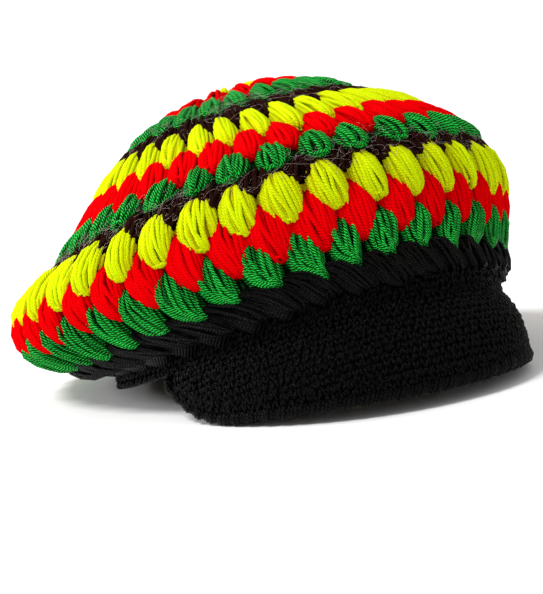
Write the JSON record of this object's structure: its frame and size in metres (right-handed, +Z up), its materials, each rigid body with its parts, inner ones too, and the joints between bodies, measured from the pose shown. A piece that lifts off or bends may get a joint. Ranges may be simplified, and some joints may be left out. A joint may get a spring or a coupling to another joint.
{
  "type": "crocheted peaked tam",
  "caption": "Slouchy crocheted tam in striped puff-stitch rounds, with a narrow band and a curved peak with a corded edge; open head hollow underneath.",
  "frame": {"origin": "middle of the ground the hat covers, on the surface it rests on", "axes": "+Z up, the peak towards -Y, the back of the crown towards +Y, the wearer's left towards +X"},
  "size_m": [0.2566, 0.2902, 0.1519],
  "materials": {
    "yellow_wool": "matte crocheted wool",
    "red_wool": "matte crocheted wool",
    "green_wool": "matte crocheted wool",
    "brown_wool": "matte crocheted wool",
    "black_wool": "matte crocheted wool"
  },
  "bodies": {
    "root": {"round_01_yellow": "yellow_wool", "round_02_red": "red_wool", "round_03_green": "green_wool", "round_04_brown": "brown_wool", "round_05_yellow": "yellow_wool", "round_06_red": "red_wool", "round_07_green": "green_wool", "round_08_brown": "brown_wool", "round_09_yellow": "yellow_wool", "round_10_red": "red_wool", "round_11_green": "green_wool", "round_12_black": "black_wool", "band": "black_wool", "peak": "black_wool", "peak_edging": "black_wool"}
  },
  "joints": []
}
